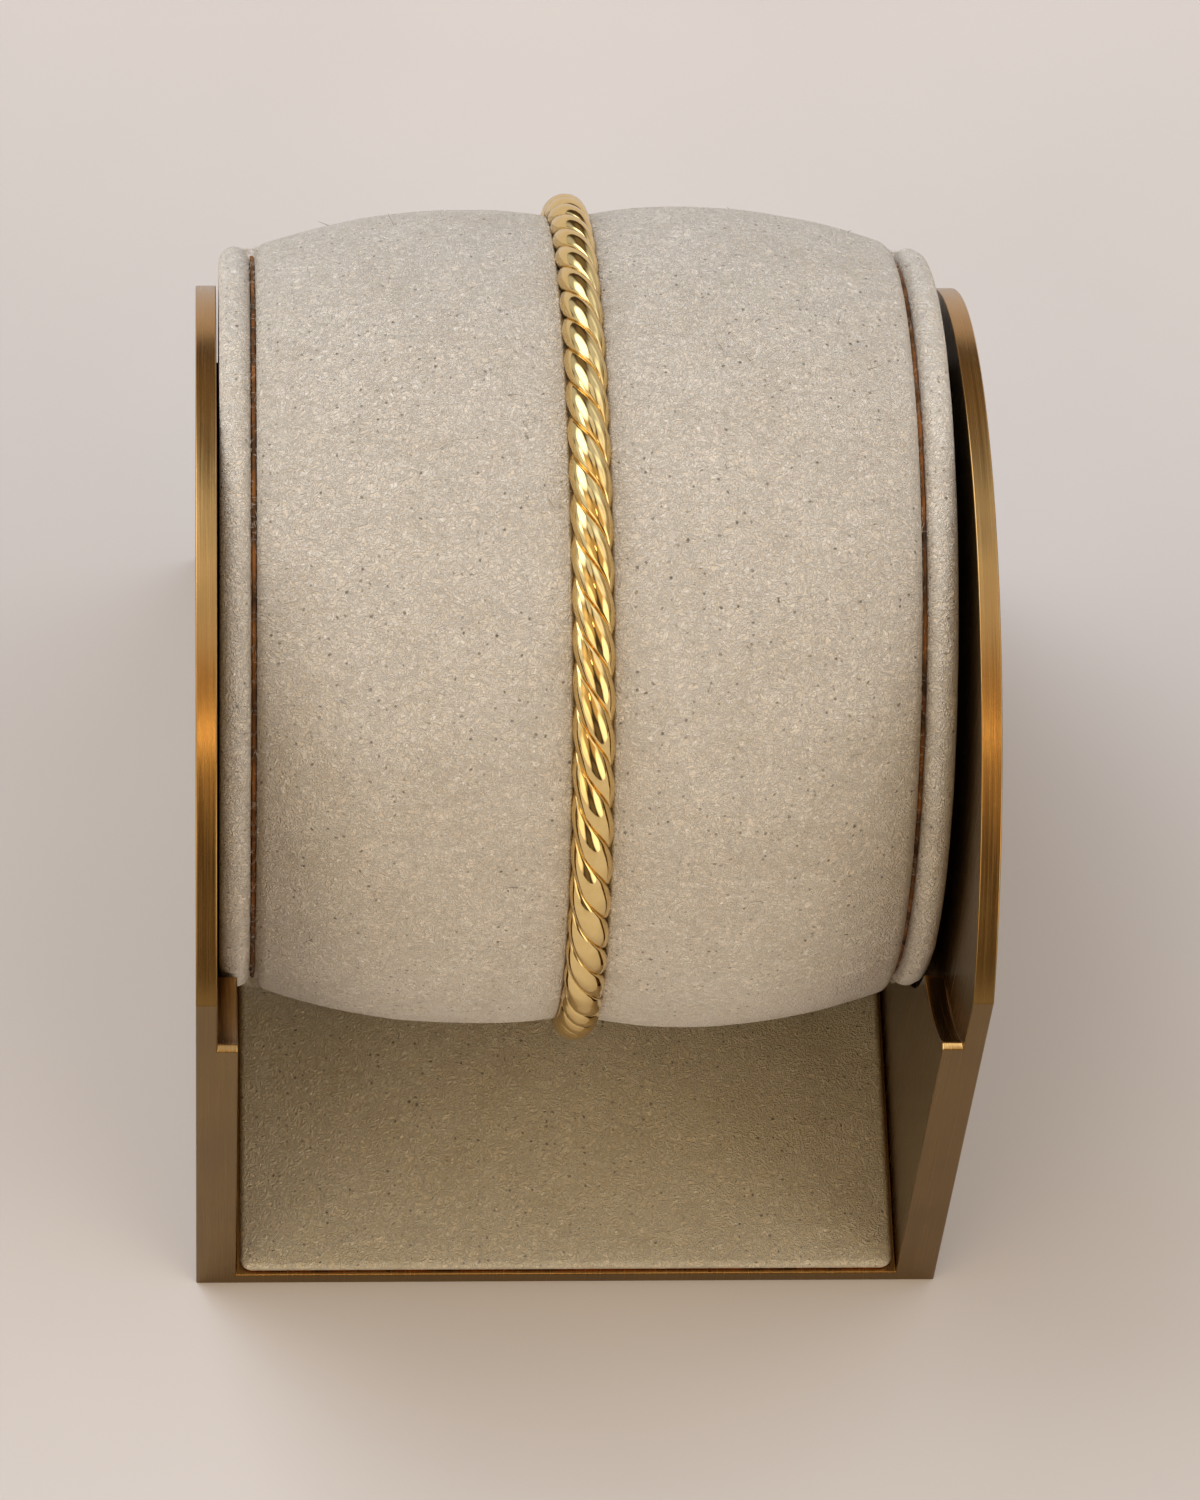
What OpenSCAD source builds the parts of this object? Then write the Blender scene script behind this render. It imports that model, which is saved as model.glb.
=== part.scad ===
// Twisted wire bangle around a suede roll, held by a two-plate display stand.
// Millimetres. Origin at the centre of the stand's underside, +Z up, front towards -Y.
// Lengths named "from left" or "from front" start at the stand's left side or front plane.

/* [Stand] */
// Width over both side plates
stand_w = 60; // [58:0.5:70]
// Depth from the front plane to the back edge
stand_d = 68.35; // [66:0.5:72]
// Thickness of a side plate below its pocket
plate_t = 3.2; // [2.8:0.1:4]
// Depth of the pocket cut into each plate's inner side
pocket_d = 1.6; // [1:0.1:2]
// Radius of the arched top
arch_r = 36.35; // [35:0.05:38]
// Height of the arch's centre
arch_z = 32; // [28:0.5:36]
// Height of the small ledge at the front of the pocket
ledge_z = 41.6; // [38:0.2:44]
// Radius of the scooped edge that leads from the ledge into the pocket
scoop_r = 25.8; // [24:0.2:28]
// Thickness of the base plate
base_t = 1.4; // [1:0.1:3]
// Rounding of the upright corners
corner_r = 0.4; // [0.2:0.1:1]

/* [Base pad] */
// Thickness of the suede pad
pad_t = 1; // [0.6:0.1:2]
// Space between the pad and each side plate
pad_side_gap = 0.35; // [0.2:0.05:1]
// Distance of the pad's edge behind the front plane
pad_setback = 0.3; // [0.1:0.05:1]
// Rounding of the pad's corners in plan
pad_corner_r = 1; // [0.5:0.1:3]

/* [Roll] */
// Axis of the roll, from front
roll_from_front = 39.88; // [39:0.1:41]
// Height of the roll's axis
roll_z = 38.69; // [38:0.1:40]
// Left end of the suede roll, from left
roll_left = 4.6; // [4.5:0.05:6]
// Right end of the suede roll, from left
roll_right = 54.6; // [52:0.1:55]
// Largest radius left of the bangle
left_crown_r = 32.13; // [31.9:0.02:32.3]
// Largest radius right of the bangle
right_crown_r = 32.42; // [32.1:0.02:32.5]
// Rounding of the roll's two end edges
roll_edge_r = 1.2; // [0.5:0.1:2]

/* [End discs and boards] */
// Radius of the suede covered discs
disc_r = 29.2; // [28:0.1:29.3]
// Thickness of a disc, also the width of its round rim
disc_t = 2.4; // [2:0.1:3]
// Radius of the raw leather boards beside the discs
board_r = 28.5; // [26:0.1:28.8]
// Thickness of a board
board_t = 0.3; // [0.2:0.05:0.4]
// Play between a disc and the round pocket that carries it
pocket_play = 0.2; // [0.1:0.05:0.4]

/* [Bangle] */
// Radius of the wire's centre line
ring_r = 31.84; // [31.5:0.02:32.2]
// Radius of the twisted wire over its strands
wire_r = 1.62; // [1.2:0.02:2]
// Middle of the bangle, from left
ring_from_left = 29.4; // [27:0.1:32]
// Small turn of the bangle about the upright axis, in degrees
ring_skew = 0.85; // [0:0.05:1.5]
// Full turns of the twist round the bangle
twist_turns = 21; // [15:1:24]
// Radius of one strand's rounded back, as a share of the wire's radius
strand_share = 0.8; // [0.7:0.01:0.95]
// Where the soldered seam sits, in degrees from the back over the top
seam_at = 185; // [170:1:230]
// How deep the strands' furrows stay at the seam, as a share of their full depth
seam_share = 0.35; // [0.1:0.05:1]
// Clearance between the wire and the furrow it presses into the roll
furrow_play = 0.08; // [0.04:0.01:0.2]

/* [Hidden] */

seat = 0.05;
slack = 5;
strands = 3;
strand_angle = 360 / strands;
half_w = stand_w / 2;
half_d = stand_d / 2;
roll_y = roll_from_front - half_d;
arch_from_front = stand_d - arch_r;
pocket_r = disc_r + pocket_play;
scoop_from_front = 22.2;
scoop_z = 55.8;

left_crown_from_left = 21.5;
left_crown_bend = 48.6;
right_crown_from_left = 38.5;
right_crown_bend = 45;

left_board_from_left = roll_left - seat - board_t;
left_disc_from_left = left_board_from_left - seat - disc_t;
right_board_from_left = roll_right + seat;
right_disc_from_left = right_board_from_left + board_t + seat;

rim_steps = 5;
crown_steps = 12;
stations = 12 * twist_turns;
wire_points = 24;
point_angle = 360 / wire_points;
seam_half = 2.2;
seam_waist = 0.03;
twist_start = 82;

bronze = [0.42, 0.32, 0.19];
suede = [0.83, 0.78, 0.71];
raw_edge = [0.48, 0.28, 0.12];
gold = [0.86, 0.66, 0.34];

// Draws a side view (from front, height) and gives it a thickness along X.
module along_x(from_left, thickness) {
    translate([from_left - half_w, -half_d, 0])
        rotate([90, 0, 90])
            linear_extrude(thickness)
                children();
}

// Spins a profile (radius, from left) about the roll's axis.
module about_roll() {
    translate([-half_w, roll_y, roll_z])
        rotate([0, 90, 0])
            rotate_extrude($fn = 96)
                children();
}

// Puts something centred on the bangle's own axis in its place on the roll.
module at_bangle() {
    translate([ring_from_left - half_w, roll_y, roll_z])
        rotate([0, 0, ring_skew])
            children();
}

module rounded_rectangle(w, d, r) {
    square([w - 2 * r, d], center = true);
    square([w, d - 2 * r], center = true);
    for (x = [-1, 1], y = [-1, 1]) {
        translate([x * (w / 2 - r), y * (d / 2 - r)])
            circle(r, $fn = 48);
    }
}

// Side view of a whole plate: upright front and back under an arched top.
module plate_side() {
    square([stand_d, arch_z]);
    intersection() {
        translate([arch_from_front, arch_z])
            circle(arch_r, $fn = 180);
        translate([0, arch_z - slack])
            square([stand_d, arch_r + 2 * slack]);
    }
}

// Side view of the plate's full thickness: below the ledge, the scoop and the pocket.
module block_side() {
    difference() {
        square([stand_d, ledge_z]);
        translate([roll_from_front, roll_z])
            circle(pocket_r, $fn = 180);
        translate([scoop_from_front, scoop_z])
            circle(scoop_r, $fn = 180);
        translate([roll_from_front, roll_z])
            square([stand_d, stand_d]);
    }
}

module side_plate() {
    along_x(0, plate_t - pocket_d)
        plate_side();
    along_x(0, plate_t)
        block_side();
}

// Both side plates and the base plate, soldered into one piece.
module cradle() {
    color(bronze)
        intersection() {
            union() {
                side_plate();
                mirror([1, 0, 0])
                    side_plate();
                translate([-half_w, -half_d, 0])
                    cube([stand_w, stand_d, base_t]);
            }
            translate([0, 0, -slack])
                linear_extrude(arch_z + arch_r + 2 * slack)
                    rounded_rectangle(stand_w, stand_d, corner_r);
        }
}

// Suede pad lying on the base plate between the side plates.
module base_pad() {
    pad_w = stand_w - 2 * plate_t - 2 * pad_side_gap;
    pad_d = stand_d - 2 * pad_setback;
    color(suede)
        translate([0, 0, base_t + seat])
            linear_extrude(pad_t)
                rounded_rectangle(pad_w, pad_d, pad_corner_r);
}

// Half of the roll's outline as (radius, from left), from an end edge to the furrow.
// side is -1 for the left half and 1 for the right half; steps run along the crown.
function half_outline(side, end, top, top_r, bend) =
    let (reach = abs(end - top) - roll_edge_r,
         lean = asin(reach / (bend - roll_edge_r)),
         edge_x = top + side * reach,
         edge_r = top_r - bend + (bend - roll_edge_r) * cos(lean),
         last = asin(side * (ring_from_left - top) / bend))
    concat(
        [[0, end]],
        [for (k = [0 : rim_steps - 1])
            let (t = 90 + (lean - 90) * k / rim_steps)
            [edge_r + roll_edge_r * cos(t), edge_x + side * roll_edge_r * sin(t)]],
        [for (k = [0 : crown_steps - 1])
            let (t = lean + (last - lean) * k / crown_steps)
            [top_r - bend + bend * cos(t), top + side * bend * sin(t)]]);

function turned_round(points) = [for (k = [len(points) - 1 : -1 : 0]) points[k]];

// Crowned suede roll, pinched in by the wire where the bangle sits.
module roll_cushion() {
    left = half_outline(-1, roll_left, left_crown_from_left, left_crown_r, left_crown_bend);
    right = half_outline(1, roll_right, right_crown_from_left, right_crown_r, right_crown_bend);
    valley_x = ring_from_left - left_crown_from_left;
    valley_r = left_crown_r - left_crown_bend + sqrt(pow(left_crown_bend, 2) - pow(valley_x, 2));
    color(suede)
        difference() {
            about_roll()
                polygon(concat(left, [[valley_r, ring_from_left]], turned_round(right)));
            at_bangle()
                rotate([0, 90, 0])
                    rotate_extrude($fn = 96)
                        translate([ring_r, 0])
                            circle(wire_r + furrow_play, $fn = 48);
        }
}

// Thin board of raw leather, seen as a brown line between disc and roll.
module end_board(from_left) {
    color(raw_edge)
        about_roll()
            translate([0, from_left])
                square([board_r, board_t]);
}

module end_board_left() {
    end_board(left_board_from_left);
}

module end_board_right() {
    end_board(right_board_from_left);
}

// Suede covered disc with a fully round rim; it carries the roll in the pockets.
module end_disc(from_left) {
    color(suede)
        about_roll()
            translate([0, from_left]) {
                square([disc_r - disc_t / 2, disc_t]);
                translate([disc_r - disc_t / 2, disc_t / 2])
                    circle(disc_t / 2, $fn = 48);
            }
}

module end_disc_left() {
    end_disc(left_disc_from_left);
}

module end_disc_right() {
    end_disc(right_disc_from_left);
}

// Degrees by which the twist lags behind an even one, by angle round the bangle.
// The strands run slower towards the seam and meet out of step there.
function twist_lag(angle) = lookup(angle, [
    [seam_at - 55, 0],
    [seam_at - 30, 45],
    [seam_at - seam_half, 111],
    [seam_at + seam_half, 151],
    [seam_at + 215, 0]]);

function twist_at(angle) = twist_start + twist_turns * angle - twist_lag(angle);

// 0 away from the seam, 1 at its middle.
function seam_near(angle) = pow(max(0, 1 - abs(angle - seam_at) / (2 * seam_half)), 2);

// Radius of the wire's section, by angle from the crown of the nearest strand.
function strand_edge(angle) =
    let (offset = 1 - strand_share)
    offset * cos(angle) + sqrt(pow(strand_share, 2) - pow(offset * sin(angle), 2));

function wire_edge(index, near) =
    let (step = index * point_angle,
         from_crown = step - strand_angle * round(step / strand_angle),
         depth = 1 - near * (1 - seam_share),
         full = 1 - depth * (1 - strand_edge(from_crown)))
    wire_r * full * (1 - near * seam_waist);

// One point of the wire: angle is round the bangle, index is round the wire.
function wire_point(angle, index) =
    let (turn = twist_at(angle) + index * point_angle,
         edge = wire_edge(index, seam_near(angle)),
         out = ring_r + edge * cos(turn))
    [edge * sin(turn), out * cos(angle), out * sin(angle)];

// Closed ring of three strands twisted left-handed, soldered at one seam.
module bangle() {
    first = seam_at - 145;
    points = [for (s = [0 : stations - 1], k = [0 : wire_points - 1])
        wire_point(first + 360 * s / stations, k)];
    faces = [for (s = [0 : stations - 1], k = [0 : wire_points - 1], half = [0, 1])
        let (here = s * wire_points,
             ahead = ((s + 1) % stations) * wire_points,
             side = (k + 1) % wire_points)
        half == 0
            ? [here + k, ahead + k, ahead + side]
            : [here + k, ahead + side, here + side]];
    color(gold)
        at_bangle()
            polyhedron(points, faces, convexity = 8);
}

cradle();
base_pad();
roll_cushion();
end_board_left();
end_board_right();
end_disc_left();
end_disc_right();
bangle();
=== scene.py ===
"""Twisted gold bangle around a suede roll, in its two-plate bronze display stand.

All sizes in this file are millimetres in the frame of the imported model: the origin is the
centre of the stand's underside, +Z is up and the front looks towards -Y. Sizes named "from
left" or "from front" start at the stand's left side or front plane, as in the part's source.
"""

import logging
import math
from collections.abc import Callable
from dataclasses import dataclass, field
from enum import Enum

import bmesh
import bpy
import numpy as np
from mathutils import Matrix, Vector


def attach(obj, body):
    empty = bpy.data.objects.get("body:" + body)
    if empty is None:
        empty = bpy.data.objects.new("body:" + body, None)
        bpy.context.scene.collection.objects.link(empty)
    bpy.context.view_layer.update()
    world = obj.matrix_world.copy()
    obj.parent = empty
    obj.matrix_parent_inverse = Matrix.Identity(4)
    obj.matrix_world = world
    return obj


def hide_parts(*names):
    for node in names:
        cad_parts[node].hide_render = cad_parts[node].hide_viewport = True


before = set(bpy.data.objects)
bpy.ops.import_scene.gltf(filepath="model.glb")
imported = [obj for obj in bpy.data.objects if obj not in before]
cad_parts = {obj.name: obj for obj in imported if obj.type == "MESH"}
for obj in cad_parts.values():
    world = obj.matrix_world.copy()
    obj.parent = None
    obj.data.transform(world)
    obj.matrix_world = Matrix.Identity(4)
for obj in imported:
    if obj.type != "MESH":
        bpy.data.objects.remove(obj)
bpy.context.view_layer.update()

log = logging.getLogger("bangle_stand")

MM = 0.001

# Steps round the axis, and the radius inside which the ends are flat, on every turned piece.
AROUND_STEPS = 420
CAP_RADIUS = 20.0


# Small helpers


def linear(hex_colour: str) -> tuple[float, float, float, float]:
    """Turns an sRGB hex colour into the linear colour that the shaders use.

    Args:
        hex_colour: Six hex digits after a hash sign.

    Returns:
        Red, green, blue and an alpha of 1.
    """
    parts = [int(hex_colour[i : i + 2], 16) / 255 for i in (1, 3, 5)]
    red, green, blue = (
        part / 12.92 if part <= 0.04045 else ((part + 0.055) / 1.055) ** 2.4 for part in parts
    )
    return (red, green, blue, 1.0)


def add_node(
    tree: bpy.types.NodeTree,
    kind: str,
    settings: dict[str | int, object] | None = None,
    links: dict[str | int, bpy.types.NodeSocket] | None = None,
) -> bpy.types.Node:
    """Adds one node with its settings and links.

    Args:
        tree: The material's or world's node tree.
        kind: The node type's name, without the ShaderNode that it starts with.
        settings: Values by property name, or by input name or number.
        links: The output socket that feeds each input, by input name or number.

    Returns:
        The new node.
    """
    node = tree.nodes.new("ShaderNode" + kind)
    for name, value in (settings or {}).items():
        if isinstance(name, int) or name in node.inputs:
            node.inputs[name].default_value = value
        else:
            setattr(node, name, value)
    for name, source in (links or {}).items():
        tree.links.new(source, node.inputs[name])
    return node


def ramp(node: bpy.types.Node, stops: list[tuple[float, str]]) -> bpy.types.Node:
    """Sets a colour ramp's stops.

    Args:
        node: A colour ramp node.
        stops: Position and hex colour of each stop, in rising order.

    Returns:
        The same node.
    """
    elements = node.color_ramp.elements
    while len(elements) < len(stops):
        elements.new(0.5)
    for element, (position, colour) in zip(elements, stops):
        element.position = position
        element.color = linear(colour)
    return node


def new_material(
    name: str,
) -> tuple[bpy.types.Material, bpy.types.NodeTree, bpy.types.Node, bpy.types.NodeSocket]:
    """Makes a material that has no finish yet.

    Args:
        name: The material's name.

    Returns:
        The material, its node tree, its shader, and the socket that gives places in metres.
    """
    made = bpy.data.materials.new(name)
    made.use_nodes = True
    tree = made.node_tree
    place = add_node(tree, "TexCoord").outputs["Object"]
    return made, tree, tree.nodes["Principled BSDF"], place


def waves(points: np.ndarray, size: float, seed: int, count: int = 10) -> np.ndarray:
    """Smooth irregular height over points in space, as a sum of plane waves.

    Args:
        points: Rows of x, y, z in millimetres.
        size: Typical wave length in millimetres.
        seed: Picks the wave directions and phases.
        count: How many waves are summed.

    Returns:
        One height for each point, about -1 to 1.
    """
    rng = np.random.default_rng(seed)
    height = np.zeros(len(points))
    for _ in range(count):
        way = rng.normal(size=3)
        way /= np.linalg.norm(way)
        length = size * rng.uniform(0.7, 1.5)
        height += np.sin(points @ way * (2 * math.pi / length) + rng.uniform(0, 2 * math.pi))
    return height / math.sqrt(count)


def smooth_min(a: np.ndarray, b: np.ndarray, blend: float) -> np.ndarray:
    """The smaller of two heights with their crossing rounded.

    Args:
        a: First heights.
        b: Second heights.
        blend: Size of the rounding, in the heights' unit.

    Returns:
        The blended heights.
    """
    near = np.clip(0.5 + 0.5 * (b - a) / blend, 0, 1)
    return b + (a - b) * near - blend * near * (1 - near)


def arc(centre: np.ndarray, radius: float, turn: np.ndarray) -> np.ndarray:
    """Rows of points on a circle, one for each turn in radians."""
    return centre + radius * np.stack([np.cos(turn), np.sin(turn)], axis=-1)


# Finishes


class Slot(Enum):
    """The record's material slots."""

    GOLD = "gold"
    BRONZE = "bronze"
    SUEDE = "suede"
    RAW_LEATHER = "raw_leather"


@dataclass(frozen=True)
class PolishedGold:
    """Yellow gold alloy wire, drawn, twisted and polished by hand.

    The colour is a pale yellow and each strand mirrors the room. Handwork leaves a faint
    waviness and a little buffing haze, which soften the edges of the reflections.
    """

    colour: str = "#eccf8f"
    hazy: str = "#e3c481"
    roughness: float = 0.08
    haze_mm: float = 0.9
    ripple_mm: float = 0.5

    def material(self) -> bpy.types.Material:
        """Makes the material.

        Returns:
            The polished gold material.
        """
        made, tree, shader, place = new_material("polished_yellow_gold")
        shader.inputs["Metallic"].default_value = 1.0
        haze = add_node(
            tree, "TexNoise",
            {"Scale": 1 / (self.haze_mm * MM), "Detail": 3.0, "Roughness": 0.6},
            {"Vector": place},
        )
        shine = add_node(
            tree, "MapRange",
            {"From Min": 0.3, "From Max": 0.7, "To Min": self.roughness * 0.75,
             "To Max": self.roughness * 1.35},
            {"Value": haze.outputs["Fac"]},
        )
        tree.links.new(shine.outputs["Result"], shader.inputs["Roughness"])
        tone = ramp(
            add_node(tree, "ValToRGB", None, {"Fac": haze.outputs["Fac"]}),
            [(0.35, self.colour), (0.75, self.hazy)],
        )
        tree.links.new(tone.outputs["Color"], shader.inputs["Base Color"])
        ripple = add_node(
            tree, "TexNoise", {"Scale": 1 / (self.ripple_mm * MM), "Detail": 1.0}, {"Vector": place}
        )
        bump = add_node(
            tree, "Bump",
            {"Strength": 0.06, "Distance": 0.05 * MM},
            {"Height": ripple.outputs["Fac"]},
        )
        tree.links.new(bump.outputs["Normal"], shader.inputs["Normal"])
        return made


@dataclass(frozen=True)
class BrushedBronze:
    """Brass plate, brushed along its edges with a belt and given an antique bronze toning.

    The belt leaves fine lines that run up and over the arch, so a highlight keeps its height
    there and breaks into upright streaks. The colour is painted lighter, like brass, on faces
    that point up and darker brown on upright faces: painted light and painted shade by facing.
    Belt scratches are some 0.05 mm apart; here they are drawn at 0.14 mm, or they would not show.
    """

    # Painted light for faces that point up, then painted shade for upright faces.
    painted_lit: str = "#c99e60"
    painted_lit_low: str = "#b08750"
    painted_shaded: str = "#7c602e"
    painted_shaded_low: str = "#6b5128"
    roughness: float = 0.24
    line_mm: float = 0.14
    line_length_mm: float = 16.0
    cloud_mm: float = 7.0

    def material(self) -> bpy.types.Material:
        """Makes the material.

        Returns:
            The brushed bronze material.
        """
        made, tree, shader, place = new_material("brushed_antique_bronze")
        shader.inputs["Metallic"].default_value = 1.0
        fine, long = 1 / (self.line_mm * MM), 1 / (self.line_length_mm * MM)
        on_edges = self._lines(tree, place, (fine, long, long))
        on_sides = self._lines(tree, place, (long, fine, long))
        faces = add_node(tree, "NewGeometry")
        across = add_node(
            tree, "VectorMath", {"operation": "DOT_PRODUCT", 1: (1.0, 0.0, 0.0)},
            {0: faces.outputs["True Normal"]},
        )
        squared = add_node(
            tree, "Math", {"operation": "POWER", 1: 2.0}, {0: across.outputs["Value"]}
        )
        is_side = add_node(
            tree, "Math", {"operation": "GREATER_THAN", 1: 0.5}, {0: squared.outputs[0]}
        )
        lines = add_node(
            tree, "Mix", {"data_type": "FLOAT"},
            {0: is_side.outputs[0], 2: on_edges.outputs["Fac"], 3: on_sides.outputs["Fac"]},
        )
        cloud = add_node(
            tree, "TexNoise", {"Scale": 1 / (self.cloud_mm * MM), "Detail": 3.0}, {"Vector": place}
        )
        toning = add_node(
            tree, "Math", {"operation": "MULTIPLY_ADD", 1: 0.5},
            {0: cloud.outputs["Fac"], 2: lines.outputs[0]},
        )
        # Lighter copy of the bronze: painted light on faces that point up.
        thin = ramp(
            add_node(tree, "ValToRGB", None, {"Fac": toning.outputs[0]}),
            [(0.52, self.painted_lit_low), (0.95, self.painted_lit)],
        )
        # Darker copy of the bronze: painted shade on upright faces.
        thick = ramp(
            add_node(tree, "ValToRGB", None, {"Fac": toning.outputs[0]}),
            [(0.52, self.painted_shaded_low), (0.95, self.painted_shaded)],
        )
        # Share of the lighter copy by how far a face points up: painted light and shade.
        upward = add_node(
            tree, "VectorMath", {"operation": "DOT_PRODUCT", 1: (0.0, 0.0, 1.0)},
            {0: faces.outputs["Normal"]},
        )
        wear_and_painted_light = add_node(
            tree, "MapRange",
            {"interpolation_type": "SMOOTHSTEP", "From Min": 0.3, "From Max": 0.85},
            {"Value": upward.outputs["Value"]},
        )
        # Inputs 6 and 7 are the mix node's two colours, and output 2 is its mixed colour.
        tone = add_node(
            tree, "Mix", {"data_type": "RGBA"},
            {0: wear_and_painted_light.outputs["Result"], 6: thick.outputs["Color"], 7: thin.outputs["Color"]},
        )
        tree.links.new(tone.outputs[2], shader.inputs["Base Color"])
        shine = add_node(
            tree, "MapRange",
            {"From Min": 0.3, "From Max": 0.7, "To Min": self.roughness * 0.8,
             "To Max": self.roughness * 1.25},
            {"Value": lines.outputs[0]},
        )
        tree.links.new(shine.outputs["Result"], shader.inputs["Roughness"])
        bump = add_node(
            tree, "Bump", {"Strength": 0.35, "Distance": 0.02 * MM}, {"Height": lines.outputs[0]}
        )
        tree.links.new(bump.outputs["Normal"], shader.inputs["Normal"])
        return made

    def _lines(
        self, tree: bpy.types.NodeTree, place: bpy.types.NodeSocket, scale: tuple[float, float, float]
    ) -> bpy.types.Node:
        """Adds brush lines as noise that is stretched along the brushing.

        Args:
            tree: The material's node tree.
            place: The socket that gives places in metres.
            scale: Lines per metre along X, Y and Z.

        Returns:
            The noise node.
        """
        stretched = add_node(tree, "Mapping", {"Scale": scale}, {"Vector": place})
        return add_node(
            tree, "TexNoise", {"Scale": 1.0, "Detail": 4.0, "Roughness": 0.65},
            {"Vector": stretched.outputs["Vector"]},
        )


@dataclass(frozen=True)
class NappedSuede:
    """Split calf suede, sanded to a short dense nap and dyed cream.

    The nap is a felt of curled fibres: the eye sees small pale curls with shade between them,
    a faint cloudiness where the nap lies differently, and fine dark specks. Real fibres are
    some 0.02 mm thick, too fine to show, so the curls are drawn as bundles 0.1 mm thick.
    """

    name: str = "napped_cream_suede"
    pale: str = "#f5ede0"
    mid: str = "#f0e6d8"
    shade: str = "#dacebb"
    speck: str = "#786e60"
    curl_mm: float = 0.48
    cloud_mm: float = 5.0
    speck_cell_mm: float = 0.62
    speck_mm: float = 0.078
    speck_bend_mm: float = 0.4
    relief_mm: float = 0.2
    sheen: str = "#fbf1e2"

    def material(self) -> bpy.types.Material:
        """Makes the material.

        Returns:
            The suede material.
        """
        made, tree, shader, place = new_material(self.name)
        shader.inputs["Roughness"].default_value = 0.95
        shader.inputs["Specular IOR Level"].default_value = 0.2
        shader.inputs["Sheen Weight"].default_value = 0.2
        shader.inputs["Sheen Roughness"].default_value = 0.5
        shader.inputs["Sheen Tint"].default_value = linear(self.sheen)
        curls = self._curls(tree, place, self.curl_mm, 2.2)
        small = self._curls(tree, place, self.curl_mm * 0.5, 1.4)
        felt = add_node(
            tree, "Math", {"operation": "MULTIPLY_ADD", 1: 0.6},
            {0: small.outputs["Result"], 2: curls.outputs["Result"]},
        )
        cloud = add_node(
            tree, "TexNoise",
            {"Scale": 1 / (self.cloud_mm * MM), "Detail": 5.0, "Roughness": 0.6},
            {"Vector": place},
        )
        blend = add_node(
            tree, "Math", {"operation": "MULTIPLY_ADD", 1: 0.8},
            {0: felt.outputs[0], 2: cloud.outputs["Fac"]},
        )
        tone = ramp(
            add_node(tree, "ValToRGB", None, {"Fac": blend.outputs[0]}),
            [(0.35, self.shade), (0.85, self.mid), (1.0, self.pale)],
        )
        dotted = self._with_specks(tree, place, tone.outputs["Color"])
        tree.links.new(dotted.outputs[2], shader.inputs["Base Color"])
        bump = add_node(
            tree, "Bump", {"Strength": 0.8, "Distance": self.relief_mm * MM},
            {"Height": felt.outputs[0]},
        )
        tree.links.new(bump.outputs["Normal"], shader.inputs["Normal"])
        return made

    def _curls(
        self, tree: bpy.types.NodeTree, place: bpy.types.NodeSocket, size_mm: float, twist: float
    ) -> bpy.types.Node:
        """Adds thin curled lines: the places where a twisted noise crosses its middle.

        Args:
            tree: The material's node tree.
            place: The socket that gives places in metres.
            size_mm: Typical size of a curl.
            twist: How much the curls wind.

        Returns:
            A node whose Result is 1 on a curl and 0 between curls.
        """
        noise = add_node(
            tree, "TexNoise",
            {"Scale": 1 / (size_mm * 2 * MM), "Detail": 2.0, "Roughness": 0.55,
             "Distortion": twist},
            {"Vector": place},
        )
        off_middle = add_node(
            tree, "Math", {"operation": "SUBTRACT", 1: 0.5}, {0: noise.outputs["Fac"]}
        )
        away = add_node(tree, "Math", {"operation": "ABSOLUTE"}, {0: off_middle.outputs[0]})
        return add_node(
            tree, "MapRange",
            {"interpolation_type": "SMOOTHSTEP", "From Min": 0.0, "From Max": 0.09,
             "To Min": 1.0, "To Max": 0.0},
            {"Value": away.outputs[0]},
        )

    def _with_specks(
        self, tree: bpy.types.NodeTree, place: bpy.types.NodeSocket, ground: bpy.types.NodeSocket
    ) -> bpy.types.Node:
        """Lays fine dark specks over the ground colour, one in about every second cell.

        Args:
            tree: The material's node tree.
            place: The socket that gives places in metres.
            ground: The colour under the specks.

        Returns:
            The colour mix node; its output 2 is the colour with specks.
        """
        bend = add_node(
            tree, "TexNoise", {"Scale": 1 / (self.speck_bend_mm * MM), "Detail": 1.0},
            {"Vector": place},
        )
        bent = add_node(
            tree, "VectorMath",
            {"operation": "MULTIPLY_ADD", 1: (0.3 * MM, 0.3 * MM, 0.3 * MM)},
            {0: bend.outputs["Color"], 2: place},
        )
        cells = add_node(
            tree, "TexVoronoi", {"Scale": 1 / (self.speck_cell_mm * MM)},
            {"Vector": bent.outputs["Vector"]},
        )
        reach = self.speck_mm / self.speck_cell_mm
        spot = add_node(
            tree, "MapRange",
            {"From Min": reach, "From Max": reach * 2.0, "To Min": 1.0, "To Max": 0.0},
            {"Value": cells.outputs["Distance"]},
        )
        pick = add_node(tree, "SeparateColor", None, {"Color": cells.outputs["Color"]})
        dark = add_node(
            tree, "MapRange",
            {"From Min": 0.4, "From Max": 1.0, "To Min": 0.0, "To Max": 0.9},
            {"Value": pick.outputs["Red"]},
        )
        share = add_node(
            tree, "Math", {"operation": "MULTIPLY"},
            {0: spot.outputs["Result"], 1: dark.outputs["Result"]},
        )
        # Inputs 6 and 7 are the mix node's two colours, and output 2 is its mixed colour.
        return add_node(
            tree, "Mix", {"data_type": "RGBA", 7: linear(self.speck)},
            {0: share.outputs[0], 6: ground},
        )


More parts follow.
